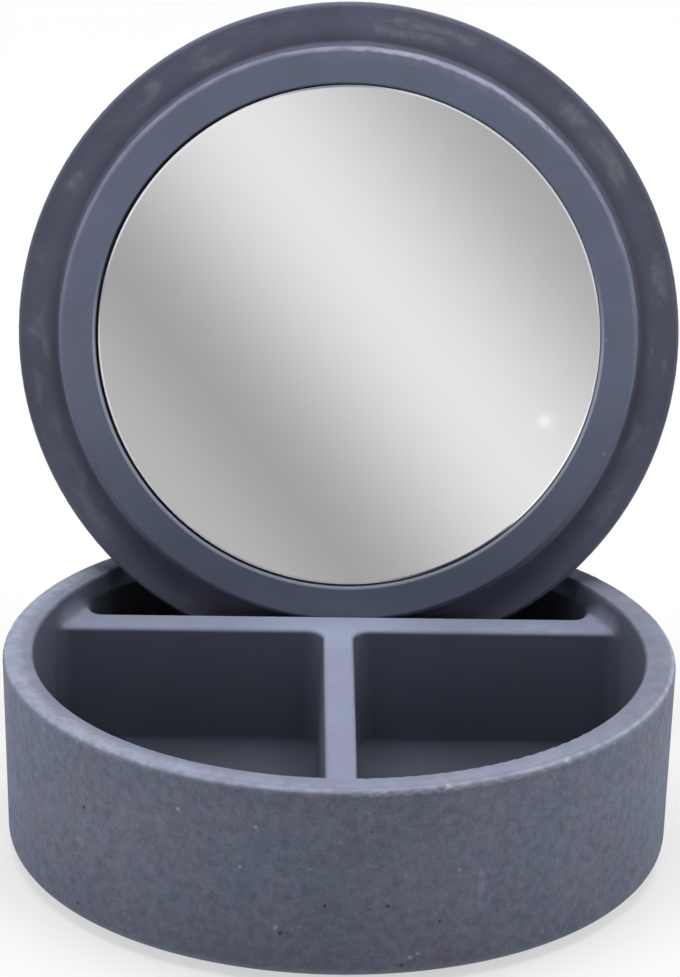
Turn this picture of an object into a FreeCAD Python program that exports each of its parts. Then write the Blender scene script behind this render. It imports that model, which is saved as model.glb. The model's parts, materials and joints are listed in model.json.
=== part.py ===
import FreeCAD, Part
import math
import os

os.makedirs("parts", exist_ok=True)

# A round cast-concrete cosmetic box. The lid stands in the rear compartment and shows its mirror.
# Millimetres. Z is up, the front of the box faces -Y. The origin is the middle of the pad's underside.

# Base tray, all radii at the rim
rim_radius = 90.0
base_height = 55.8
wall_thickness = 8.2
floor_thickness = 11.0
outer_draft = 1.6
inner_draft = 1.5
bottom_round = 5.0
rim_outer_round = 2.0
rim_inner_round = 1.2
inside_fillet = 5.2

# Compartment walls
divider_drop = 6.6
cross_wall_back = 37.8
cross_wall_thickness = 9.8
middle_wall_thickness = 8.2
divider_draft = 2.0
divider_top_round = 1.3
junction_fillet = 5.0

# Pad glued under the base
pad_thickness = 1.5
pad_edge_inset = 10.0

# Lid: a plate with a raised locating ring that drops inside the rim
lid_overhang = 0.5
lid_plate_thickness = 10.0
lid_outer_edge_round = 2.5
lid_inner_edge_round = 1.2
ring_height = 6.2
ring_play = 2.8
ring_draft = 4.0
ring_edge_round = 1.5
ring_root_fillet = 1.2

# Mirror, let into the ring's face on round adhesive pads
ring_face_width = 10.1
recess_edge_round = 0.6
mirror_thickness = 3.0
mirror_edge_grind = 0.5
mirror_edge_gap = 0.8
mirror_below_ring = 0.2
adhesive_thickness = 1.0
adhesive_pad_radius = 11.0
adhesive_circle_radius = 42.0
adhesive_pad_count = 4

# How the lid stands
lean_angle = 13.5
lid_turn = -1.7
seat_gap = 0.3

# Worked out from the values above
cavity_radius = rim_radius - wall_thickness
floor_top = pad_thickness + floor_thickness
divider_top = base_height - divider_drop
cross_wall_front = cross_wall_back - cross_wall_thickness
lid_radius = rim_radius + lid_overhang
ring_radius = cavity_radius - ring_play
recess_radius = ring_radius - ring_face_width
mirror_radius = recess_radius - mirror_edge_gap
recess_depth = mirror_below_ring + mirror_thickness + adhesive_thickness
lean = math.radians(lean_angle)
up_along_lid = FreeCAD.Vector(0, math.sin(lean), math.cos(lean))
out_of_mirror = FreeCAD.Vector(0, -math.cos(lean), math.sin(lean))
Z = FreeCAD.Vector(0, 0, 1)


def revolved(outline):
    """A solid turned about Z from corner points given as (radius, height)."""
    corners = [FreeCAD.Vector(radius, 0, height) for radius, height in outline]
    face = Part.Face(Part.makePolygon(corners + corners[:1]))
    return face.revolve(FreeCAD.Vector(), Z, 360)


def ring_edges(solid, radius, height, tolerance=0.01):
    """Circular edges about Z with this radius at this height."""
    found = []
    for edge in solid.Edges:
        box = edge.BoundBox
        flat = box.ZLength < tolerance and abs(box.ZMin - height) < tolerance
        point = edge.valueAt(edge.FirstParameter)
        if flat and abs(math.hypot(point.x, point.y) - radius) < tolerance:
            found.append(edge)
    return found


def inward(height_below, draft_angle):
    """How far a drafted face moves over a height."""
    return height_below * math.tan(math.radians(draft_angle))


def round_inset(radius, draft_angle):
    """How far a rounded corner's centre lies inside a sharp corner whose side face is drafted."""
    return radius / math.tan(math.radians(45 + draft_angle / 2))


def cup():
    """The open tray without its compartment walls."""
    foot_radius = rim_radius - inward(base_height - pad_thickness, outer_draft)
    floor_radius = cavity_radius - inward(base_height - floor_top, inner_draft)
    outline = [
        (0, pad_thickness),
        (foot_radius, pad_thickness),
        (rim_radius, base_height),
        (cavity_radius, base_height),
        (floor_radius, floor_top),
        (0, floor_top),
    ]
    tray = revolved(outline)
    tray = tray.makeFillet(bottom_round, ring_edges(tray, foot_radius, pad_thickness))
    tray = tray.makeFillet(rim_outer_round, ring_edges(tray, rim_radius, base_height))
    return tray.makeFillet(rim_inner_round, ring_edges(tray, cavity_radius, base_height))


def drafted_wall(half_top, length):
    """A straight wall along X with sloping sides, from inside the floor up to the dividers' top."""
    bottom = pad_thickness + floor_thickness / 2
    half_bottom = half_top + inward(divider_top - bottom, divider_draft)
    section = [
        FreeCAD.Vector(0, -half_bottom, bottom),
        FreeCAD.Vector(0, half_bottom, bottom),
        FreeCAD.Vector(0, half_top, divider_top),
        FreeCAD.Vector(0, -half_top, divider_top),
    ]
    face = Part.Face(Part.makePolygon(section + section[:1]))
    return face.extrude(FreeCAD.Vector(length, 0, 0))


def compartment_walls():
    """The cross wall and the middle wall in one, with the T junction and the top edges rounded."""
    cross = drafted_wall(cross_wall_thickness / 2, 2 * rim_radius)
    cross.translate(FreeCAD.Vector(-rim_radius, (cross_wall_front + cross_wall_back) / 2, 0))
    middle = drafted_wall(middle_wall_thickness / 2, rim_radius + cross_wall_front + 1)
    middle.rotate(FreeCAD.Vector(), Z, -90)
    middle.translate(FreeCAD.Vector(0, cross_wall_front + 1, 0))
    walls = cross.fuse(middle).removeSplitter()
    upright = []
    for edge in walls.Edges:
        box = edge.BoundBox
        inside = abs(box.Center.x) < middle_wall_thickness and box.YMin > -rim_radius / 2
        if box.ZLength > floor_thickness and inside:
            upright.append(edge)
    walls = walls.makeFillet(junction_fillet, upright)
    crest = []
    for edge in walls.Edges:
        box = edge.BoundBox
        level = box.ZMin > divider_top - 0.01
        end_x = box.XLength < 0.01 and abs(abs(box.XMin) - rim_radius) < 0.01
        end_y = box.YLength < 0.01 and abs(box.YMin + rim_radius) < 0.01
        if level and not end_x and not end_y:
            crest.append(edge)
    return walls.makeFillet(divider_top_round, crest)


def base_tray():
    """The cast tray: cup and compartment walls in one casting, blended where they meet."""
    keep_radius = cavity_radius + wall_thickness / 2
    keep = Part.makeCylinder(keep_radius, base_height)
    tray = cup().fuse(compartment_walls().common(keep)).removeSplitter()
    blend = []
    for edge in tray.Edges:
        box = edge.BoundBox
        if box.ZMin < floor_top - 0.01 or box.ZMax > divider_top + 0.01:
            continue
        middle = edge.valueAt((edge.FirstParameter + edge.LastParameter) / 2)
        wall_radius = cavity_radius - inward(base_height - middle.z, inner_draft)
        on_wall = abs(math.hypot(middle.x, middle.y) - wall_radius) < 0.02
        if on_wall or box.ZMax < floor_top + 0.01:
            blend.append(edge)
    return tray.makeFillet(inside_fillet, blend)


def base_pad():
    """A thin round pad glued to the tray's underside."""
    foot_radius = rim_radius - inward(base_height - pad_thickness, outer_draft)
    return Part.makeCylinder(foot_radius - pad_edge_inset, pad_thickness)


def lid_plate():
    """The lid in its own frame: plate below Z=0, ring above it, the mirror's recess in the ring."""
    ring_foot = ring_radius + inward(ring_height, ring_draft)
    outline = [
        (0, -lid_plate_thickness),
        (lid_radius, -lid_plate_thickness),
        (lid_radius, 0),
        (ring_foot, 0),
        (ring_radius, ring_height),
        (recess_radius, ring_height),
        (recess_radius, ring_height - recess_depth),
        (0, ring_height - recess_depth),
    ]
    lid = revolved(outline)
    lid = lid.makeFillet(lid_outer_edge_round, ring_edges(lid, lid_radius, -lid_plate_thickness))
    lid = lid.makeFillet(lid_inner_edge_round, ring_edges(lid, lid_radius, 0))
    lid = lid.makeFillet(ring_root_fillet, ring_edges(lid, ring_foot, 0))
    lid = lid.makeFillet(ring_edge_round, ring_edges(lid, ring_radius, ring_height))
    return lid.makeFillet(recess_edge_round, ring_edges(lid, recess_radius, ring_height))


def mirror_glass():
    """The round mirror with its ground edge, in the lid's frame."""
    top = ring_height - mirror_below_ring
    glass = Part.makeCylinder(mirror_radius, mirror_thickness, FreeCAD.Vector(0, 0, top - mirror_thickness))
    return glass.makeChamfer(mirror_edge_grind, ring_edges(glass, mirror_radius, top))


def adhesive_pads():
    """Round adhesive pads between the recess floor and the glass, in the lid's frame."""
    pads = []
    for number in range(adhesive_pad_count):
        turn = math.radians(360 * (number + 0.5) / adhesive_pad_count)
        x = adhesive_circle_radius * math.cos(turn)
        y = adhesive_circle_radius * math.sin(turn)
        seat = FreeCAD.Vector(x, y, ring_height - recess_depth)
        pads.append(Part.makeCylinder(adhesive_pad_radius, adhesive_thickness, seat))
    return pads


def ring_edge_depth(centre_z):
    """The lid centre's Y at which the ring's rounded edge rests on the cross wall, for a height."""
    along = round_inset(ring_edge_round, ring_draft) - ring_radius
    out = ring_height - ring_edge_round
    edge_z = centre_z + along * up_along_lid.z + out * out_of_mirror.z
    crest_y = cross_wall_back - round_inset(divider_top_round, divider_draft)
    above = max(edge_z - divider_top + divider_top_round, 0)
    reach = ring_edge_round + divider_top_round + seat_gap
    edge_y = crest_y + math.sqrt(max(reach**2 - above**2, 0))
    return edge_y - along * up_along_lid.y - out * out_of_mirror.y


def rim_clearance(centre_y, centre_z):
    """The gap between the lid's outer edge round and the rim's inner edge round, less than 0 if they cross."""
    back = lid_outer_edge_round - lid_plate_thickness
    core = lid_radius - lid_outer_edge_round
    rim_core = cavity_radius + round_inset(rim_inner_round, inner_draft)
    centre = FreeCAD.Vector(0, centre_y, centre_z) + back * out_of_mirror
    offsets = []
    for step in range(900):
        turn = math.radians(-90 + step / 10)
        across = FreeCAD.Vector(core * math.cos(turn), 0, 0)
        point = centre + across + core * math.sin(turn) * up_along_lid
        outwards = math.hypot(point.x, point.y) - rim_core
        offsets.append((outwards, point.z - base_height + rim_inner_round))
    nearest = min(math.hypot(outwards, above) for outwards, above in offsets)
    level_with_rim = min(offsets, key=lambda offset: abs(offset[1]))
    inside = level_with_rim[0] < 0
    return (nearest if inside else -nearest) - lid_outer_edge_round - rim_inner_round


def lid_placement():
    """Where the lid stands: its ring leans on the cross wall and its edge wedges between the rims."""
    low = base_height
    high = base_height + lid_radius
    while high - low > 0.0001:
        height = (low + high) / 2
        if rim_clearance(ring_edge_depth(height), height) < seat_gap:
            low = height
        else:
            high = height
    centre = FreeCAD.Vector(0, ring_edge_depth(high), high)
    upright = FreeCAD.Placement(centre, FreeCAD.Rotation(FreeCAD.Vector(1, 0, 0), 90 - lean_angle))
    return FreeCAD.Placement(FreeCAD.Vector(), FreeCAD.Rotation(Z, lid_turn)) * upright


def save(name, solid):
    """Write one piece under its node's name."""
    solid.exportStep("parts/" + name + ".step")
    print(name, "volume", round(solid.Volume), "valid", solid.isValid())


standing = lid_placement()
save("base_tray", base_tray())
save("base_pad", base_pad())
save("lid", lid_plate().transformed(standing.toMatrix()))
save("mirror_glass", mirror_glass().transformed(standing.toMatrix()))
for number, pad in enumerate(adhesive_pads(), 1):
    save("mirror_adhesive_%d" % number, pad.transformed(standing.toMatrix()))
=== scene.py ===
"""Looks of a round cast-concrete cosmetic box whose lid stands in the tray and shows its mirror."""

import json
import math

import bpy
from mathutils import Matrix, Vector

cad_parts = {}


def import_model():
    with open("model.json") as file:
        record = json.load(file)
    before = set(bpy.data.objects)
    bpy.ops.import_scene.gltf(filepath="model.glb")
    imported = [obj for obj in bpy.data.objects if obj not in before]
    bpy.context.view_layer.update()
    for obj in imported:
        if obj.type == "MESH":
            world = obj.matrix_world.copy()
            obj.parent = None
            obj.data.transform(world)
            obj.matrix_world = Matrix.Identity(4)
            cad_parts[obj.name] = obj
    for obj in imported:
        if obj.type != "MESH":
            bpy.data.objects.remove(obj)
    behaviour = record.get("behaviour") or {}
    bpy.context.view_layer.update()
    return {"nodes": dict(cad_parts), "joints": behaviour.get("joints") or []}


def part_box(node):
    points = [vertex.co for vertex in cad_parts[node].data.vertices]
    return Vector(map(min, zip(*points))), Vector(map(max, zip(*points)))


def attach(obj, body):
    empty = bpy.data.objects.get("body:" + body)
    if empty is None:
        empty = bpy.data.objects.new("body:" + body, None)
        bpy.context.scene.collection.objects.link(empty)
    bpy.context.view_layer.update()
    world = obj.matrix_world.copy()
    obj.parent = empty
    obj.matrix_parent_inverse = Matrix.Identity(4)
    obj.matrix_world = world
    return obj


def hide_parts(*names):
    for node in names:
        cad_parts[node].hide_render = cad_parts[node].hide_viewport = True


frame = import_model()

bl_info = {
    "name": "Concrete Cosmetic Box",
    "version": (1, 0, 0),
    "blender": (4, 5, 0),
    "location": "3D View > Sidebar > Cosmetic Box",
    "description": "Finishes a cast-concrete cosmetic box with a mirrored lid and sets up its studio",
    "category": "Object",
}

MM = 0.001

# Sizes and places read from the frame, in metres
TRAY_LOW, TRAY_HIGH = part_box("base_tray")
GLASS_LOW, GLASS_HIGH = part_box("mirror_glass")
RIM_RADIUS = (TRAY_HIGH.x - TRAY_LOW.x) / 2
RIM_HEIGHT = TRAY_HIGH.z
LIFT_AXIS = Vector(frame["joints"][0]["axis"]).normalized()

# What the drawing gives and no piece's box shows: in metres the height of the compartment walls,
# the middle of the cross wall and the gap round the mirror, and the slope of the outer wall
DIVIDER_TOP = 0.0492
CROSS_WALL = 0.0329
RECESS_PLAY = 0.0008
WALL_SLOPE = math.tan(math.radians(1.6))

# The mirror's outline and the fall of its polished bevel towards the edge
MIRROR_SIDES = 256
BEVEL_SLOPE = math.radians(11)

# In metres: how far from the rim's and the ring's edge they wander, and the height above the
# lid's middle where the ring wanders fully
RIM_REACH = 0.0032
RING_REACH = 0.0030
RING_FADE = 0.020

# Spots on the tray's wall and rim: angle round it in degrees, height and radius in millimetres
AIR_HOLES = (
    (-137.6, 36.5, 0.60), (-92.5, 23.1, 0.75), (-82.2, 22.9, 0.60), (-99.8, 14.6, 0.70),
    (-139.9, 7.5, 0.60), (-79.6, 5.6, 0.70), (-85.1, 44.1, 0.50), (-73.4, 17.2, 0.60),
    (38.0, 21.5, 0.70), (71.5, 40.2, 0.60), (104.0, 12.8, 0.80), (127.0, 33.0, 0.60),
    (163.0, 18.0, 0.70))
LIGHT_GRAINS = (
    (-117.5, 45.3, 0.80), (-106.6, 32.1, 0.60), (-70.2, 31.2, 0.60), (-100.6, 16.0, 0.70),
    (-78.2, 7.6, 0.90), (-77.0, 8.6, 0.70), (-104.0, 44.0, 0.60), (52.0, 30.0, 0.70),
    (92.0, 44.0, 0.80))
SCUFFS = ((-66.3, 27.0, 1.20), (-101.5, 30.5, 1.00), (80.0, 25.0, 1.10))
RIM_CHALK = (
    (-73.1, 55.0, 2.6), (-49.6, 55.3, 2.2), (20.0, 55.2, 1.8), (64.0, 55.2, 2.4),
    (118.0, 55.1, 1.8), (172.0, 55.2, 2.2))

# A scuff is drawn out upwards this many times
SCUFF_STRETCH = 8

# Light spots on the lid's ring: angle round it in degrees, distance from its middle and radius
# in millimetres
RING_MARKS = ((0.5, 70.4, 0.52), (-23.5, 77.0, 0.52))

# The studio floor: its outline, radius in metres, how far the overhead lamp spreads on it and
# where the light of the side lamps ends, in millimetres, and its own grey
FLOOR_SIDES = 96
FLOOR_RADIUS = 6
OVERHEAD_SPREAD = 1200
SIDE_LAMPS_END = (900, 1150)
FLOOR_GREY = (0.30, 0.30, 0.30, 1)

# The card that the mirror shows, in metres, its bright band's slant, and where a small glint is,
# in millimetres along X and Z from the card's middle
CARD_MIDDLE = Vector((-0.0728, -1.7, 0.3463))
CARD_SCALE = (1.4, 0.9, 1)
BAND_SLANT = (0.338, 0.280)
GLINT = (123, -51)

# Studio lamps: place, the point that each looks at, width and height in metres, power in watts
BOX_MIDDLE = (0, 0, 0.08)
LAMPS = {
    "overhead": ((0, -0.05, 1.2), (0, -0.05, 0), 1.0, 0.8, 18.0),
    "front": ((0, -1.6, 0.35), BOX_MIDDLE, 1.2, 0.4, 1.4),
    "left_side": ((-1.2, 0, 0.5), BOX_MIDDLE, 0.4, 0.9, 5.2),
    "right_side": ((1.2, 0, 0.5), BOX_MIDDLE, 0.4, 0.9, 5.2),
    "left_back": ((-1.0, 0.7, 0.45), BOX_MIDDLE, 0.4, 0.8, 2.9),
    "right_back": ((1.0, 0.7, 0.45), BOX_MIDDLE, 0.4, 0.8, 4.1),
}


def lid_axes():
    """The standing lid's own frame: X across it, Y up along it, Z out of the mirror."""
    level = Vector((LIFT_AXIS.x, LIFT_AXIS.y, 0))
    outwards = Vector((0, 0, level.length)) - level.normalized() * LIFT_AXIS.z
    across = LIFT_AXIS.cross(outwards)
    return Matrix((across, LIFT_AXIS, outwards)).transposed()


LID_AXES = lid_axes()
GLASS_CENTRE = (GLASS_LOW + GLASS_HIGH) / 2


def in_lid_frame(point):
    """A point of the row frame seen from the glass's centre, in the lid's frame."""
    return LID_AXES.transposed() @ (point - GLASS_CENTRE)


def node_points(node):
    """A CAD node's corners."""
    return [vertex.co.copy() for vertex in frame["nodes"][node].data.vertices]


LID_LOCAL = [in_lid_frame(point) for point in node_points("lid")]
GLASS_LOCAL = [in_lid_frame(point) for point in node_points("mirror_glass")]
GLASS_RADIUS = max(math.hypot(point.x, point.y) for point in GLASS_LOCAL)
GLASS_FACE = max(point.z for point in GLASS_LOCAL)
LID_RADIUS = max(math.hypot(point.x, point.y) for point in LID_LOCAL)
RING_FACE = max(point.z for point in LID_LOCAL)


def flange_face():
    """Height of the plate's inner face in the glass's frame: the points near the lid's edge."""
    edge = LID_RADIUS - 1.5 * MM
    return max(point.z for point in LID_LOCAL if math.hypot(point.x, point.y) > edge)


def ring_edge_radius():
    """Radius of the ring where it is highest."""
    top = [point for point in LID_LOCAL if point.z > RING_FACE - 1.6 * MM]
    return max(math.hypot(point.x, point.y) for point in top)


FLANGE_FACE = flange_face()
RING_EDGE_RADIUS = ring_edge_radius()


# Property groups: what a user would change


class CastFinish(bpy.types.PropertyGroup):
    """Colours and surface of the cast concrete."""

    cool: bpy.props.FloatVectorProperty(
        name="Cool grey", description="The concrete's main colour", subtype="COLOR",
        size=3, min=0, max=1, default=(0.145, 0.163, 0.227))
    warm: bpy.props.FloatVectorProperty(
        name="Warm patches", description="Colour of the patches with a brown cast", subtype="COLOR",
        size=3, min=0, max=1, default=(0.163, 0.166, 0.220))
    green: bpy.props.FloatVectorProperty(
        name="Green patches", description="Colour of the patches with a green cast", subtype="COLOR",
        size=3, min=0, max=1, default=(0.147, 0.176, 0.219))
    ring: bpy.props.FloatVectorProperty(
        name="Ring", description="Colour of the lid's smooth ring", subtype="COLOR",
        size=3, min=0, max=1, default=(0.138, 0.158, 0.230))
    violet: bpy.props.FloatVectorProperty(
        name="Flange", description="Colour of the lid's flange", subtype="COLOR",
        size=3, min=0, max=1, default=(0.156, 0.157, 0.243))
    # Used for the rubbed edges and for the lid's painted highlights
    chalk_and_highlight: bpy.props.FloatVectorProperty(
        name="Chalky wear", description="Colour of the rubbed edges", subtype="COLOR",
        size=3, min=0, max=1, default=(0.40, 0.43, 0.53))
    dust: bpy.props.FloatVectorProperty(
        name="Dust", description="Colour of the dusty smudges on the lid", subtype="COLOR",
        size=3, min=0, max=1, default=(0.27, 0.26, 0.27))
    # Painted shade: the near-black in the air holes stands in for their shadow
    pit_shade: bpy.props.FloatVectorProperty(
        name="Pits", description="Colour in the air holes", subtype="COLOR",
        size=3, min=0, max=1, default=(0.035, 0.038, 0.050))
    roughness: bpy.props.FloatProperty(
        name="Roughness", description="Roughness of the sealed concrete", subtype="FACTOR",
        min=0, max=1, default=0.72)
    relief: bpy.props.FloatProperty(
        name="Relief", description="Depth of the sandy grain", subtype="DISTANCE",
        unit="LENGTH", min=0, max=0.001, default=0.00008)
    ripple: bpy.props.FloatProperty(
        name="Ripple", description="How far the edge of the lid's ring wanders", subtype="DISTANCE",
        unit="LENGTH", min=0, max=0.003, default=0.0014)
    crumble: bpy.props.FloatProperty(
        name="Crumble", description="How much of the tray's rim has crumbled", subtype="DISTANCE",
        unit="LENGTH", min=0, max=0.002, default=0.00025)


class MirrorFinish(bpy.types.PropertyGroup):
    """Colours of the mirror and of what holds it."""

    silver: bpy.props.FloatVectorProperty(
        name="Silver", description="Colour of the silvering", subtype="COLOR",
        size=3, min=0, max=1, default=(0.855, 0.852, 0.865))
    arris: bpy.props.FloatProperty(
        name="Ground edge", description="Width of the mirror's ground edge", subtype="DISTANCE",
        unit="LENGTH", min=0, max=0.002, default=0.00012)
    bevel: bpy.props.FloatProperty(
        name="Bevel", description="Width of the polished bevel round the mirror", subtype="DISTANCE",
        unit="LENGTH", min=0, max=0.005, default=0.0006)
    slip: bpy.props.FloatProperty(
        name="Slip", description="How far the mirror sits right in its recess", subtype="DISTANCE",
        unit="LENGTH", min=0, max=0.0005, default=0.00028)
    lift: bpy.props.FloatProperty(
        name="Lift", description="How far the mirror sits up in its recess", subtype="DISTANCE",
        unit="LENGTH", min=0, max=0.0005, default=0.00005)
    slack: bpy.props.FloatProperty(
        name="Ground to fit", description="How much the mirror is ground larger than its drawing",
        subtype="DISTANCE", unit="LENGTH", min=0, max=0.0005, default=0.00044)


class StageLook(bpy.types.PropertyGroup):
    """The camera and the studio."""

    lens: bpy.props.FloatProperty(
        name="Lens", description="Focal length on a 36 mm film height", subtype="DISTANCE_CAMERA",
        min=10, max=500, default=187.4)
    distance: bpy.props.FloatProperty(
        name="Distance", description="From the camera to the point that it looks at",
        subtype="DISTANCE", unit="LENGTH", min=0.2, max=10, default=1.3433)
    turn: bpy.props.FloatProperty(
        name="Turn", description="How far the camera stands to the right of the box's front",
        subtype="ANGLE", default=math.radians(-0.865))
    rise: bpy.props.FloatProperty(
        name="Rise", description="How far the camera looks down", subtype="ANGLE",
        default=math.radians(21.53))
    roll: bpy.props.FloatProperty(
        name="Roll", description="How far the picture leans to the right", subtype="ANGLE",
        default=math.radians(1.021))
    aim: bpy.props.FloatVectorProperty(
        name="Aim", description="The point that the camera looks at", subtype="XYZ",
        unit="LENGTH", size=3, default=(-0.00061, 0, 0.1018))


# Shader maths


class Value:
    """A shader socket that can be calculated with like a number."""

    def __init__(self, recipe, socket):
        self.recipe = recipe
        self.socket = socket

    def maths(self, operation, first, second=None):
        """A maths node on one or two values."""
        inputs = {0: first} if second is None else {0: first, 1: second}
        return self.recipe.add("ShaderNodeMath", {"operation": operation}, inputs)

    def __add__(self, other):
        return self.maths("ADD", self, other)

    __radd__ = __add__

    def __sub__(self, other):
        return self.maths("SUBTRACT", self, other)

    def __rsub__(self, other):
        return self.maths("SUBTRACT", other, self)

    def __mul__(self, other):
        return self.maths("MULTIPLY", self, other)

    __rmul__ = __mul__

    def __truediv__(self, other):
        return self.maths("DIVIDE", self, other)

    def __pow__(self, power):
        return self.maths("POWER", self, power)

    def __abs__(self):
        return self.maths("ABSOLUTE", self)

    def root(self):
        return self.maths("SQRT", self)

    def rise(self, low, high):
        """0 below low, 1 above high and smooth between them, or falling where low is above high."""
        ends = {"From Min": low, "From Max": high}
        if low > high:
            ends = {"From Min": high, "From Max": low, "To Min": 1.0, "To Max": 0.0}
        return self.recipe.add("ShaderNodeMapRange", {"interpolation_type": "SMOOTHSTEP"},
                               {"Value": self, **ends})


class Recipe:
    """The nodes of a material or a world being written."""

    def __init__(self, owner):
        self.owner = owner
        owner.use_nodes = True
        self.nodes = owner.node_tree.nodes
        self.links = owner.node_tree.links
        self.nodes.clear()

    @classmethod
    def of_material(cls, name):
        """The recipe of a new material."""
        return cls(bpy.data.materials.new(name))

    def add(self, kind, settings=None, inputs=None, output=0):
        """Any node: its settings are set first, then the values or links of its sockets."""
        node = self.nodes.new(kind)
        for name, value in (settings or {}).items():
            setattr(node, name, value)
        for name, value in (inputs or {}).items():
            if isinstance(value, Value):
                self.links.new(value.socket, node.inputs[name])
            else:
                node.inputs[name].default_value = value
        return Value(self, node.outputs[output])

    def place(self, centre=(0, 0, 0), turn=(0, 0, 0)):
        """Object coordinates in millimetres, seen from a piece's own frame."""
        spot = self.add("ShaderNodeTexCoord", output="Object")
        inputs = {"Vector": spot, "Location": centre, "Rotation": turn, "Scale": (MM, MM, MM)}
        return self.add("ShaderNodeMapping", {"vector_type": "TEXTURE"}, inputs)

    def split(self, vector):
        """The three parts of a vector."""
        parts = self.add("ShaderNodeSeparateXYZ", inputs={0: vector})
        return [Value(self, output) for output in parts.socket.node.outputs]

    def combine(self, x, y, z):
        """A vector from three values."""
        return self.add("ShaderNodeCombineXYZ", inputs={0: x, 1: y, 2: z})

    def cloud(self, spot, size, detail=3, distortion=0.0):
        """Soft noise whose patches are about this many millimetres across."""
        inputs = {"Vector": spot, "Scale": 1 / size, "Detail": detail, "Distortion": distortion}
        return self.add("ShaderNodeTexNoise", {"normalize": True}, inputs)

    def specks(self, spot, cell, radius, share):
        """Round specks in a share of the cells, each this many millimetres in radius."""
        inputs = {"Vector": spot, "Scale": 1 / cell, "Randomness": 1.0}
        near = self.add("ShaderNodeTexVoronoi", {"feature": "F1"}, inputs, "Distance")
        draw = self.split(Value(self, near.socket.node.outputs["Color"]))[0]
        edge = radius / cell
        return near.rise(edge, edge * 0.45) * draw.rise(1 - share, 1 - share + 0.02)

    def tint(self, factor, first, second):
        """Two colours mixed."""
        settings = {"data_type": "RGBA", "blend_type": "MIX", "clamp_factor": True}
        ends = [colour if isinstance(colour, Value) else (*colour, 1.0) for colour in (first, second)]
        return self.add("ShaderNodeMix", settings, {0: factor, 6: ends[0], 7: ends[1]}, 2)

    def shade(self, colour, factor):
        """A colour made lighter or darker by a value round 1."""
        settings = {"operation": "SCALE"}
        return self.add("ShaderNodeVectorMath", settings, {0: colour, "Scale": factor})

    def bump(self, height, depth):
        """A normal from a height of 0 to 1 that stands for this depth in metres."""
        return self.add("ShaderNodeBump", inputs={"Height": height, "Distance": depth, "Strength": 1.0})

    def finish(self, inputs):
        """The surface shader and the output: returns the material."""
        return self.show(self.add("ShaderNodeBsdfPrincipled", inputs=inputs))

    def show(self, shader, kind="ShaderNodeOutputMaterial"):
        """The output that shows a shader: returns the material or world."""
        sink = self.nodes.new(kind)
        self.links.new(shader.socket, sink.inputs["Surface"])
        return self.owner


# Materials


def distance_to_ring(radial, height, ring_radius, ring_height):
    """Millimetres from a circle round the piece's axis."""
    return ((radial - ring_radius) ** 2 + (height - ring_height) ** 2).root()


def spots_on_wall(x, y, height, places, fray, stretch=1):
    """1 in small ragged spots at places on the tray's wall, drawn out upwards by a stretch above 1."""
    shown = 0
    for angle, level, radius in places:
        wall = RIM_RADIUS / MM - (RIM_HEIGHT / MM - level) * WALL_SLOPE
        turn = math.radians(angle)
        across, along = wall * math.cos(turn), wall * math.sin(turn)
        near = ((x - across) ** 2 + (y - along) ** 2 + ((height - level) / stretch) ** 2).root()
        shown = shown + (near + 0.3 * fray).rise(radius, 0.45 * radius)
    return shown


def marks_on_ring(x, y, fray):
    """1 in small ragged spots on the lid's ring."""
    shown = 0
    for angle, radius, size in RING_MARKS:
        turn = math.radians(angle)
        near = ((x - radius * math.cos(turn)) ** 2 + (y - radius * math.sin(turn)) ** 2).root()
        shown = shown + (near + 0.4 * size * fray).rise(size, 0.30 * size)
    return shown


def cast_colour(recipe, spot, finish):
    """The mottled grey of both castings."""
    warm = 0.75 * recipe.cloud(spot, 15, 3, 0.5) + 0.25 * recipe.cloud(spot, 4, 2)
    colour = recipe.tint(warm.rise(0.44, 0.62), finish.cool, finish.warm)
    green = recipe.cloud(spot, 9, 4, 0.4).rise(0.50, 0.70) * 0.8
    return recipe.tint(green, colour, finish.green)


def concrete(name, finish, spot_of, features):
    """Cast concrete, with noise and specks of so many millimetres.

    features gives each casting's own places for sand, wear, dust, pits and tone. The tone holds
    each casting's painted light and shade, and on the lid the wear also holds painted highlights.
    """
    recipe = Recipe.of_material(name)
    spot = spot_of(recipe)
    x, y, height = recipe.split(spot)
    radial = (x * x + y * y).root()
    look = features(recipe, finish, spot, x, y, radial, height)
    sandy = look["sandy"]

    # Sand and mottles that lighten and darken it, most where it is sandy
    grain = recipe.cloud(spot, 0.75, 2)
    mottle = recipe.cloud(spot, 2.6, 3)
    drift = recipe.cloud(spot, 22, 3)
    light = recipe.specks(spot, 2.4, 0.60, 0.25) * recipe.cloud(spot, 9, 2).rise(0.40, 0.62)
    # Tone here carries each casting's painted light and shade as well as its random mottling
    tone = look["tone"] * (0.86 + 0.28 * drift) * (1 + (0.12 + 0.88 * sandy) * (0.80 * mottle - 0.40))
    tone = tone * (1 + sandy * (0.56 * grain - 0.28) + sandy * 0.30 * light + 0.9 * look["grains"])

    # Colour, with the pits' painted shade, dust, and the rubbed edges with the lid's painted
    # highlights over it
    colour = recipe.tint(look["calm"], cast_colour(recipe, spot, finish), look["own"])
    colour = recipe.shade(colour, tone)
    # Painted shade in the air holes
    colour = recipe.tint(look["pits"], colour, finish.pit_shade)
    colour = recipe.tint(look["dust"], colour, finish.dust)
    colour = recipe.tint(look["wear"], colour, finish.chalk_and_highlight)

    # Relief of the sand and the pits
    relief = (grain + 0.6 * mottle) * (0.15 + 0.85 * sandy + look["grit"]) - 2.0 * look["pits"]
    normal = recipe.bump(relief, finish.relief)
    rough = finish.roughness + 0.12 * sandy + 0.08 * mottle
    return recipe.finish({"Base Color": colour, "Roughness": rough, "Normal": normal,
                          "Specular IOR Level": 0.30})


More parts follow.
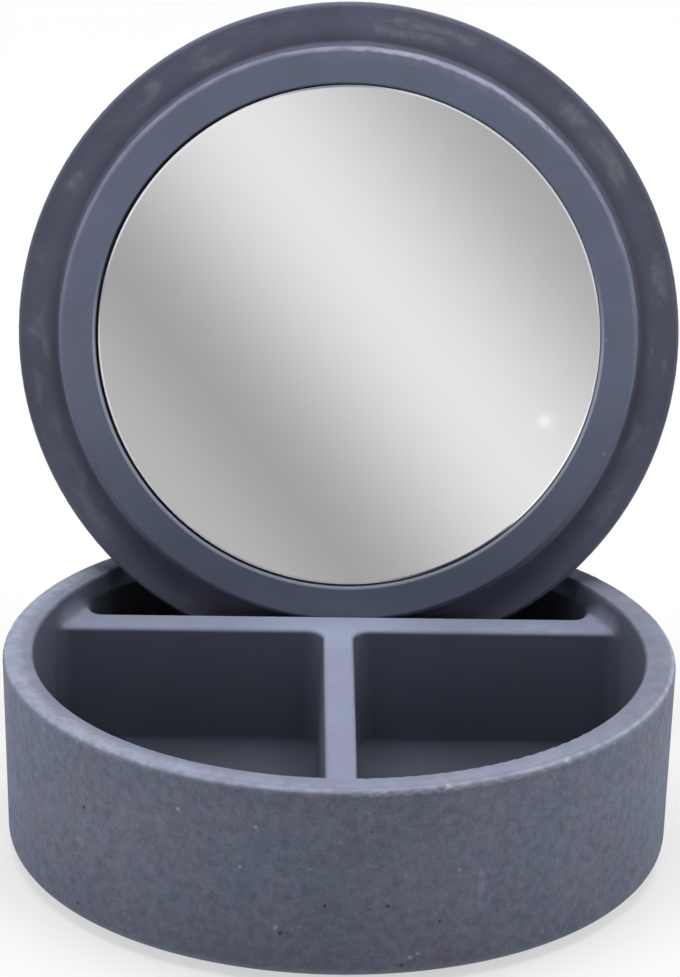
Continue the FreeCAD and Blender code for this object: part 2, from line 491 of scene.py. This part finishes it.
def tray_features(recipe, finish, spot, x, y, radial, height):
    """Sandy outside, darker and smooth inside with painted shade low down and painted light on the
    wall tops, a rubbed pale line along the rim's outer edge.

    Places are in millimetres. outside is the outer wall, level the rim's top, inside all within
    the rim, left the tray's left side, shoulder the outer part of the rim's top, wall all from
    the round wall's inner face outwards, crest the tops of the cross and middle walls, upper all
    above those, rear the rear compartment, junction where the walls meet, middle the middle wall.
    """
    rim, top, crown = RIM_RADIUS / MM, RIM_HEIGHT / MM, DIVIDER_TOP / MM
    cross = CROSS_WALL / MM
    fray = recipe.cloud(spot, 1.6, 3) * 2.0 - 1.0

    # Where it is
    outside = (radial + fray).rise(rim - 3.0, rim - 1.4) * (height + fray).rise(top - 0.3, top - 1.8)
    level = height.rise(top - 1.6, top - 0.5) * (1 - outside)
    inside = radial.rise(rim - 7.3, rim - 8.0)
    left = x.rise(-10, -60)
    shoulder = (radial + 1.5 * fray).rise(rim - 6.5, rim - 2.5) * level
    wall = radial.rise(rim - 10.5, rim - 9.0)
    crest = height.rise(crown - 1.0, crown - 0.2) * height.rise(crown + 1.4, crown + 0.3) * (1 - wall)
    upper = height.rise(crown + 0.3, crown + 1.4)
    rear = y.rise(cross + 3.5, cross + 6.0) * (1 - upper)
    junction = (x * x + (y - cross) ** 2).root().rise(34, 6)
    middle = abs(x).rise(7, 5) * y.rise(cross, cross - 8)

    # Chalky wear along the rim's outer edge, on its top and at one place of the cross wall
    patchy = recipe.cloud(spot, 3.2, 4).rise(0.38, 0.60)
    cloudy = recipe.cloud(spot, 8, 4, 0.6).rise(0.40, 0.66)
    edge = distance_to_ring(radial, height, rim - 0.5, top - 0.5).rise(1.1, 0.3)
    crumbs = edge * spots_on_wall(x, y, height, RIM_CHALK, fray)
    wear = edge * (0.26 + 0.20 * patchy) * (1 - 0.75 * left) + 0.6 * crumbs * patchy
    mark = crest * x.rise(50, 54) * x.rise(63, 57) * y.rise(cross + 2, cross - 2) * patchy
    wear = wear + 0.16 * mark
    wear = wear + level * (0.08 * cloudy + (0.08 + 0.24 * left) * shoulder * (0.5 + 0.5 * patchy))

    # Tone: darker in the compartments, with painted shade most at the foot of their walls, lower
    # down and in the rear one, painted light on the tops of the walls and on the rim's top, and
    # painted shade at the rim's right and rear
    shade = (0.80 + 0.38 * height.rise(14, 46)) * (1 - 0.17 * wall)
    depth = 0.61 * shade - 0.15 * height.rise(17, 13) * (0.9 + 0.5 * abs(x).rise(20, 55)) + 0.04 * upper
    depth = depth * (1 - 0.92 * rear * abs(x).rise(71, 60))
    painted_light_and_shade = crest * (1.14 + 0.24 * junction + 0.14 * middle) + (1 - crest) * depth
    painted_rim_shade = 0.22 * x.rise(40, 88) + 0.26 * y.rise(20, 60)
    tone = 1 + level * (0.14 - painted_rim_shade - 0.14 * left * (1 - shoulder)) + inside * (painted_light_and_shade - 1)
    # Painted shade: the outer wall darker towards its foot
    tone = tone * (1 + outside * (0.20 * height.rise(4, 36) - 0.13))

    # Air holes with painted shade in them, light grains and scuffs of the outer wall
    loose = recipe.specks(spot, 7.5, 0.50, 0.10)
    pits = outside * (0.85 * spots_on_wall(x, y, height, AIR_HOLES, fray) + 0.5 * loose)
    scuffs = spots_on_wall(x, y, height, SCUFFS, fray, SCUFF_STRETCH)
    grains = outside * (spots_on_wall(x, y, height, LIGHT_GRAINS, fray) + 0.35 * patchy * scuffs)
    return {"sandy": outside + 0.35 * level, "wear": wear, "dust": 0.0, "tone": tone,
            "own": tuple(finish.cool), "calm": 0.75 * inside,
            "pits": pits, "grains": grains, "grit": 1.3 * edge}


def lid_features(recipe, finish, spot, x, y, radial, height):
    """A smooth bluish ring face, a darker smudged flange, a rubbed pale line along the ring's edge,
    with painted highlights where the light falls and painted shade below and round the mirror.

    Places are in millimetres from the middle of the mirror's face. up is 1 at the standing
    lid's top and -1 at its foot. outside is the lid's rim and back, middle the flange's middle,
    root the ring's foot, which has painted shade, sunk the painted shade in the gap round the
    mirror, which the upper right lacks. line and band follow the ring's outer edge, lip the recess's
    edge, which carries a painted highlight below, and hem the lid's.
    """
    face = (RING_FACE - GLASS_FACE) / MM
    plate = (FLANGE_FACE - GLASS_FACE) / MM
    lid, ring = LID_RADIUS / MM, RING_EDGE_RADIUS / MM
    recess = (GLASS_RADIUS + RECESS_PLAY) / MM
    wander = recipe.cloud(spot, 7, 3) * 1.2 - 0.6

    # Where it is
    up = y / radial
    on_ring = (radial + 0.5 * wander).rise(ring + 0.2, ring - 0.2) * height.rise(plate + 3.5, plate + 5.0)
    outside = height.rise(plate - 1.0, plate - 2.5)
    flange = (1 - on_ring) * (1 - outside)
    painted_gap_shade = radial.rise(recess + 0.60, recess + 0.25) * (0.64 * (x / radial) + 0.77 * up).rise(0.9, 0.2)
    middle = radial.rise(ring + 2.0, ring + 4.5) * radial.rise(lid - 1.0, lid - 4.0)
    root = radial.rise(ring + 5.0, ring + 0.8)
    lower = up.rise(-0.15, -0.60)

    # Chalky rubbing along the ring's edge, with a painted highlight strongest a little right of its
    # top where the light falls and fading on its shaded lower part; a painted highlight on the lower
    # part of the recess's edge; rubbing along the lid's edge and in two spots
    patchy = recipe.cloud(spot, 9, 4).rise(0.28, 0.58)
    flecks = recipe.cloud(spot, 3, 4).rise(0.40, 0.62)
    line = distance_to_ring(radial + 0.4 * wander, height, ring - 0.6, face - 0.5).rise(1.3, 0.3)
    band = distance_to_ring(radial, height, ring - 1.4, face).rise(2.6, 0.4) * (0.4 + 0.6 * flecks)
    painted_highlight_top = (0.34 * (x / radial) + 0.94 * up).rise(0.84, 0.98)
    painted_lip_highlight = distance_to_ring(radial, height, recess + 0.55, face - 0.1).rise(0.60, 0.20)
    hem = distance_to_ring(radial, height, lid, plate).rise(0.8, 0.2)
    # Painted highlight along the ring's lit upper edge, gone where it is shaded below
    wear = line * (0.17 + 0.22 * painted_highlight_top) * (0.15 + 0.85 * patchy) * up.rise(-0.30, 0.90)
    wear = wear + 0.15 * band * painted_highlight_top
    # Painted highlight on the recess's lower edge
    wear = wear + 0.75 * painted_lip_highlight * up.rise(0.40, -0.15) + 0.05 * hem * patchy
    wear = wear + 0.38 * on_ring * marks_on_ring(x, y, wander)

    # Dusty smudges that run round the middle of the flange
    round_about = recipe.combine(x / radial * 34, y / radial * 34, radial * 0.9)
    streaks = recipe.cloud(round_about, 6, 4, 0.5).rise(0.50, 0.66)
    dusty = streaks * (0.5 + 0.5 * recipe.cloud(spot, 1.8, 3).rise(0.35, 0.65))

    # Tone: the flange is dark, with painted shade most at the ring's foot, and lighter below; the
    # ring has painted shade below and in the gap round the mirror
    flange_tone_and_shade = (0.59 + 0.20 * lower) * (1 - 0.22 * root * (1 - 0.8 * lower))
    flange_tone_and_shade = flange_tone_and_shade * (1 - 0.08 * radial.rise(ring + 7, lid - 2))
    ring_painted_shade = 0.96 - 0.06 * up.rise(0.2, 1.0) - 0.24 * up.rise(-0.1, -1.0)
    blotchy = 0.84 + 0.32 * recipe.cloud(spot, 11, 4, 0.6)
    tone = on_ring * ring_painted_shade * (1 - 0.8 * painted_gap_shade) + flange * flange_tone_and_shade * blotchy + outside
    return {"sandy": outside * 0.9, "wear": wear, "dust": 0.36 * dusty * middle * flange, "tone": tone,
            "own": recipe.tint(on_ring, finish.violet, finish.ring), "calm": on_ring + 0.50 * flange,
            "pits": 0.0, "grains": 0.0, "grit": 0.4 * line}


def tray_spot(recipe):
    """Millimetres from the middle of the tray's foot."""
    return recipe.place()


def lid_spot(recipe):
    """Millimetres from the middle of the mirror's face, in the lid's frame."""
    return recipe.place(GLASS_CENTRE + LID_AXES @ Vector((0, 0, GLASS_FACE)),
                        LID_AXES.to_euler("XYZ"))


def mirror_silver(finish):
    """Silvered glass with a trace of wiping."""
    recipe = Recipe.of_material("mirror_silver")
    wipe = recipe.cloud(recipe.place(), 30, 3, 1.2)
    colour = recipe.shade(tuple(finish.silver), 0.99 + 0.01 * wipe)
    return recipe.finish({"Base Color": colour, "Metallic": 1.0, "Roughness": 0.018 + 0.02 * wipe})


def ground_glass():
    """The mirror's ground edge."""
    recipe = Recipe.of_material("mirror_edge")
    grind = recipe.cloud(recipe.place(), 0.5, 2)
    colour = recipe.tint(grind, (0.26, 0.29, 0.30), (0.42, 0.46, 0.47))
    return recipe.finish({"Base Color": colour, "Roughness": 0.25 + 0.2 * grind})


def polished_bevel():
    """The mirror's bevel: a painted highlight line below, a mirror's finish above and at the lower right.

    slant is 1 at the upper left and the lower right, and -1 at the upper right and lower left.
    """
    recipe = Recipe.of_material("mirror_bevel")
    x, y = recipe.split(lid_spot(recipe))[:2]
    slant = -2 * x * y / (x * x + y * y)
    upper = y.rise(-15, 15)
    # Painted highlight: near-white where the bevel would catch the light
    painted_highlight = 1 - upper + upper * (0.75 * slant.rise(0.2, 0.9) + 0.55 * slant.rise(0.1, -0.5))
    colour = recipe.tint(painted_highlight, (0.24, 0.27, 0.30), (0.98, 0.98, 0.99))
    bright = upper + (1 - upper) * slant.rise(0.2, 0.8)
    return recipe.finish({"Base Color": colour, "Metallic": bright, "Roughness": 0.12})


def foam(name, light, dark, cell):
    """Closed-cell foam, with cells of so many millimetres, for the adhesive pads and the pad below."""
    recipe = Recipe.of_material(name)
    cells = recipe.specks(recipe.place(), cell, cell * 0.45, 0.9)
    colour = recipe.tint(cells, light, dark)
    normal = recipe.bump(cells, -0.00006)
    return recipe.finish({"Base Color": colour, "Roughness": 0.85 + 0.1 * cells, "Normal": normal})


# Modelling helpers


def only(piece):
    """Deselect all, then select and activate one piece."""
    if bpy.context.object and bpy.context.object.mode != "OBJECT":
        bpy.ops.object.mode_set(mode="OBJECT")
    bpy.ops.object.select_all(action="DESELECT")
    piece.hide_set(False)
    piece.select_set(True)
    bpy.context.view_layer.objects.active = piece


def paint(piece, *materials):
    """Give a piece its materials."""
    piece.data.materials.clear()
    for material in materials:
        piece.data.materials.append(material)


def pick_faces(piece, wanted):
    """Enter edit mode with only the wanted faces selected."""
    only(piece)
    bpy.ops.object.mode_set(mode="EDIT")
    bpy.ops.mesh.select_mode(type="FACE")
    bpy.ops.mesh.select_all(action="DESELECT")
    bpy.ops.object.mode_set(mode="OBJECT")
    for polygon in piece.data.polygons:
        polygon.select = wanted(polygon)
    bpy.ops.object.mode_set(mode="EDIT")


def twin(node, name):
    """A copy of a CAD node's mesh with its loose triangles merged, as a new piece."""
    source = frame["nodes"][node]
    mesh = source.data.copy()
    mesh.name = name
    piece = bpy.data.objects.new(name, mesh)
    bpy.context.scene.collection.objects.link(piece)
    only(piece)
    bpy.ops.object.mode_set(mode="EDIT")
    bpy.ops.mesh.select_all(action="SELECT")
    bpy.ops.mesh.remove_doubles(threshold=1e-6)
    bpy.ops.mesh.normals_make_consistent(inside=False)
    bpy.ops.object.mode_set(mode="OBJECT")
    return piece


def smooth(piece, angle=40):
    """Smooth shading with flat faces kept flat."""
    only(piece)
    bpy.ops.object.shade_smooth_by_angle(angle=math.radians(angle))
    weighted = piece.modifiers.new("flat faces stay flat", "WEIGHTED_NORMAL")
    weighted.keep_sharp = True
    bpy.ops.object.modifier_apply(modifier=weighted.name)


def ripple(piece, reach, cuts, size, depth, level):
    """Let a cast edge wander by this depth in soft waves of this size, where reach(point) is above 0."""
    weights = {vertex.index: reach(vertex.co) for vertex in piece.data.vertices}
    pick_faces(piece, lambda face: all(weights[index] > 0 for index in face.vertices))
    bpy.ops.mesh.subdivide(number_cuts=cuts)
    bpy.ops.object.mode_set(mode="OBJECT")
    group = piece.vertex_groups.new(name="wandering edge")
    for vertex in piece.data.vertices:
        group.add([vertex.index], max(reach(vertex.co), 0), "REPLACE")
    waves = bpy.data.textures.new(piece.name + "_waves", "CLOUDS")
    waves.noise_scale = size
    waves.noise_depth = 2
    wander = piece.modifiers.new("wandering edge", "DISPLACE")
    wander.texture = waves
    wander.texture_coords = "LOCAL"
    wander.strength = depth
    wander.mid_level = level
    wander.vertex_group = group.name
    bpy.ops.object.modifier_apply(modifier=wander.name)
    piece.vertex_groups.clear()


def rim_reach(point):
    """1 at the rim's outer edge and 0 a few millimetres from it."""
    away = math.hypot(math.hypot(point.x, point.y) - RIM_RADIUS, point.z - RIM_HEIGHT)
    return 1 - away / RIM_REACH


def ring_reach(point):
    """1 at the upper edge of the lid's ring and 0 away from it or below the lid's middle."""
    local = in_lid_frame(point)
    away = math.hypot(math.hypot(local.x, local.y) - RING_EDGE_RADIUS, local.z - RING_FACE)
    return min(1 - away / RING_REACH, local.y / RING_FADE)


def settle(piece, body, slot, *nodes):
    """Let a finished piece ride on its body and stand for its CAD nodes."""
    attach(piece, body)
    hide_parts(*nodes)


# Operators: one for each piece or group of like pieces, and one for the stage


class BOX_OT_cast_tray(bpy.types.Operator):
    """Finish the concrete tray with its compartment walls"""

    bl_idname = "box.cast_tray"
    bl_label = "Cast the tray"

    def execute(self, context):
        finish = context.scene.box_cast
        tray = twin("base_tray", "tray_casting")
        ripple(tray, rim_reach, cuts=3, size=2.2 * MM, depth=finish.crumble, level=1.0)
        smooth(tray)
        paint(tray, concrete("tray_concrete", finish, tray_spot, tray_features))
        settle(tray, "tray", "concrete", "base_tray")
        return {"FINISHED"}


class BOX_OT_cast_lid(bpy.types.Operator):
    """Finish the concrete lid with its locating ring"""

    bl_idname = "box.cast_lid"
    bl_label = "Cast the lid"

    def execute(self, context):
        finish = context.scene.box_cast
        lid = twin("lid", "lid_casting")
        ripple(lid, ring_reach, cuts=2, size=9 * MM, depth=finish.ripple, level=0.5)
        smooth(lid)
        paint(lid, concrete("lid_concrete", finish, lid_spot, lid_features))
        settle(lid, "lid_with_mirror", "concrete_lid", "lid")
        return {"FINISHED"}


class BOX_OT_set_mirror(bpy.types.Operator):
    """Grind, silver and set the round mirror"""

    bl_idname = "box.set_mirror"
    bl_label = "Set the mirror"

    def execute(self, context):
        finish = context.scene.box_mirror
        thickness = GLASS_FACE - min(point.z for point in GLASS_LOCAL)
        outwards = LID_AXES @ Vector((0, 0, 1))
        fall = finish.bevel * math.tan(BEVEL_SLOPE)
        seat = LID_AXES @ Vector((finish.slip, finish.lift, -fall / 2))
        bpy.ops.object.select_all(action="DESELECT")
        bpy.ops.mesh.primitive_cylinder_add(
            vertices=MIRROR_SIDES, radius=GLASS_RADIUS + finish.slack, depth=thickness - fall,
            location=GLASS_CENTRE + seat, rotation=LID_AXES.to_euler())
        glass = context.object
        glass.name = glass.data.name = "mirror_disc"
        bpy.ops.object.transform_apply(location=True, rotation=True, scale=True)
        pick_faces(glass, lambda face: face.normal.dot(outwards) > 0.9)
        bpy.ops.mesh.inset(thickness=finish.bevel)
        bpy.ops.transform.translate(value=outwards * fall)
        pick_faces(glass, lambda face: abs(face.normal.dot(outwards)) < 0.1)
        bpy.ops.mesh.region_to_loop()
        bpy.ops.mesh.bevel(offset=finish.arris, segments=2, affect="EDGES")
        bpy.ops.object.mode_set(mode="OBJECT")
        paint(glass, mirror_silver(finish), polished_bevel(), ground_glass())
        # The face looks straight out, the bevel leans by its slope and the ground edge leans more
        for polygon in glass.data.polygons:
            facing = polygon.normal.dot(outwards)
            polygon.material_index = 0 if facing > 0.999 else 1 if facing > 0.97 else 2
        smooth(glass, angle=5)
        settle(glass, "lid_with_mirror", "mirror", "mirror_glass")
        return {"FINISHED"}


class BOX_OT_stick_pads(bpy.types.Operator):
    """Finish the adhesive pads behind the mirror and the pad under the tray"""

    bl_idname = "box.stick_pads"
    bl_label = "Stick the pads"

    def execute(self, context):
        adhesive = foam("adhesive_foam", (0.62, 0.62, 0.58), (0.40, 0.40, 0.37), cell=0.6)
        below = foam("underside_foam", (0.045, 0.045, 0.05), (0.02, 0.02, 0.024), cell=0.8)
        for name, node in frame["nodes"].items():
            if name.startswith("mirror_adhesive"):
                paint(node, adhesive)
        paint(frame["nodes"]["base_pad"], below)
        return {"FINISHED"}


class BOX_OT_set_stage(bpy.types.Operator):
    """Set up the floor, the lights, the world and the camera"""

    bl_idname = "box.set_stage"
    bl_label = "Set the stage"

    def execute(self, context):
        look = context.scene.box_stage
        floor()
        mirror_card()
        lamps()
        world()
        camera(look)
        context.scene.view_settings.view_transform = "Standard"
        return {"FINISHED"}


def seen_white(recipe):
    """1 for camera, glossy and transmission rays, which see the studio white, and 0 for the light."""
    path = recipe.add("ShaderNodeLightPath", output="Is Camera Ray")
    glossy = Value(recipe, path.socket.node.outputs["Is Glossy Ray"])
    passing = Value(recipe, path.socket.node.outputs["Is Transmission Ray"])
    return recipe.add("ShaderNodeMath", {"operation": "ADD", "use_clamp": True},
                      {0: path, 1: glossy + passing})


def floor():
    """A pale floor that looks white, keeps the box's shadow and throws light back up."""
    bpy.ops.object.select_all(action="DESELECT")
    bpy.ops.mesh.primitive_circle_add(vertices=FLOOR_SIDES, radius=FLOOR_RADIUS, fill_type="NGON")
    ground = bpy.context.object
    ground.name = "studio_floor"
    recipe = Recipe.of_material("studio_floor")
    x, y = recipe.split(recipe.place())[:2]
    square = x * x + y * y

    # Seen directly, the floor glows less where the lamps light it more, so that it looks even
    lamp_spread = (1 + square / OVERHEAD_SPREAD ** 2) ** -2
    beyond = square.root().rise(*SIDE_LAMPS_END)
    seen = seen_white(recipe)
    paper = recipe.add("ShaderNodeBsdfDiffuse", inputs={"Color": FLOOR_GREY})
    strength = seen * (0.89 - 0.31 * lamp_spread + 0.20 * beyond) + (1 - seen) * 0.40
    glow = recipe.add("ShaderNodeEmission", inputs={"Strength": strength})
    paint(ground, recipe.show(recipe.add("ShaderNodeAddShader", inputs={0: paper, 1: glow})))


def mirror_card():
    """A card with one slanting bright band in front of the box, which only gloss and the mirror see."""
    bpy.ops.object.select_all(action="DESELECT")
    bpy.ops.mesh.primitive_plane_add(size=1, location=CARD_MIDDLE, rotation=(math.radians(90), 0, 0))
    card = bpy.context.object
    card.name = "studio_card"
    card.scale = CARD_SCALE
    bpy.ops.object.transform_apply(location=True, rotation=True, scale=True)
    recipe = Recipe.of_material("studio_card")
    x, z = recipe.split(recipe.place(CARD_MIDDLE))[::2]
    slant = x * BAND_SLANT[0] + z * BAND_SLANT[1]

    # The bright band falls off to both sides, one corner is lighter again, and a glint lies on it
    glow = 0.425 + 0.485 * slant.rise(-40, 14) - 0.45 * slant.rise(14, 72) + 0.12 * slant.rise(-38, -66)
    lamp = ((x - GLINT[0]) ** 2 + (z - GLINT[1]) ** 2).root()
    glow = glow + 0.34 * lamp.rise(6, 0.5)
    paint(card, recipe.show(recipe.add("ShaderNodeEmission", inputs={"Strength": glow})))
    for ray in ("camera", "diffuse", "shadow", "transmission", "volume_scatter"):
        setattr(card, "visible_" + ray, False)


def area_lamp(name, place, aim, width, height, power):
    """A soft rectangular lamp that looks at a point and shows neither itself nor its reflection."""
    lamp = bpy.data.lights.new(name, "AREA")
    lamp.shape = "RECTANGLE"
    lamp.size = width
    lamp.size_y = height
    lamp.energy = power
    holder = bpy.data.objects.new(name, lamp)
    holder.location = place
    holder.rotation_euler = (Vector(aim) - Vector(place)).to_track_quat("-Z", "Y").to_euler()
    holder.visible_camera = False
    holder.visible_glossy = False
    bpy.context.scene.collection.objects.link(holder)


def lamps():
    """One large lamp overhead and weaker ones at the sides, the back and the front."""
    for name, settings in LAMPS.items():
        area_lamp(name, *settings)


def world():
    """White where the camera, gloss or glass sees it, and no light of its own."""
    recipe = Recipe(bpy.data.worlds.new("studio"))
    white = recipe.add("ShaderNodeBackground",
                       inputs={"Color": (1, 1, 1, 1), "Strength": seen_white(recipe)})
    bpy.context.scene.world = recipe.show(white, "ShaderNodeOutputWorld")


def camera(look):
    """The camera at the photograph's angle, leaning by its roll."""
    flat = math.cos(look.rise)
    back = Vector((math.sin(look.turn) * flat, -math.cos(look.turn) * flat, math.sin(look.rise)))
    right = (-back).cross(Vector((0, 0, 1))).normalized()
    up = back.cross(right)
    turned = Matrix((right, up, back)).transposed() @ Matrix.Rotation(look.roll, 3, "Z")
    lens = bpy.data.cameras.new("camera")
    lens.lens = look.lens
    holder = bpy.data.objects.new("camera", lens)
    holder.matrix_world = Matrix.Translation(Vector(look.aim) + back * look.distance) @ turned.to_4x4()
    bpy.context.scene.collection.objects.link(holder)
    bpy.context.scene.camera = holder


class BOX_PT_panel(bpy.types.Panel):
    """Lists the steps and the finish of the cosmetic box"""

    bl_label = "Cosmetic Box"
    bl_idname = "BOX_PT_panel"
    bl_space_type = "VIEW_3D"
    bl_region_type = "UI"
    bl_category = "Cosmetic Box"

    def draw(self, context):
        for operator in OPERATORS:
            self.layout.operator(operator.bl_idname)
        for group in (context.scene.box_cast, context.scene.box_mirror, context.scene.box_stage):
            box = self.layout.box()
            for name in group.__annotations__:
                box.prop(group, name)


GROUPS = {"box_cast": CastFinish, "box_mirror": MirrorFinish, "box_stage": StageLook}
OPERATORS = (BOX_OT_cast_tray, BOX_OT_cast_lid, BOX_OT_set_mirror, BOX_OT_stick_pads, BOX_OT_set_stage)


def register():
    """Register the classes and give the scene its settings."""
    for group in GROUPS.values():
        bpy.utils.register_class(group)
    for name, group in GROUPS.items():
        setattr(bpy.types.Scene, name, bpy.props.PointerProperty(type=group))
    for operator in OPERATORS:
        bpy.utils.register_class(operator)
    bpy.utils.register_class(BOX_PT_panel)


def unregister():
    """Take the classes and the settings away again."""
    bpy.utils.unregister_class(BOX_PT_panel)
    for operator in reversed(OPERATORS):
        bpy.utils.unregister_class(operator)
    for name in GROUPS:
        delattr(bpy.types.Scene, name)
    for group in GROUPS.values():
        bpy.utils.unregister_class(group)


def main():
    """Register the add-on and run its steps."""
    register()
    bpy.ops.box.cast_tray()
    bpy.ops.box.cast_lid()
    bpy.ops.box.set_mirror()
    bpy.ops.box.stick_pads()
    bpy.ops.box.set_stage()


if __name__ == "__main__":
    main()
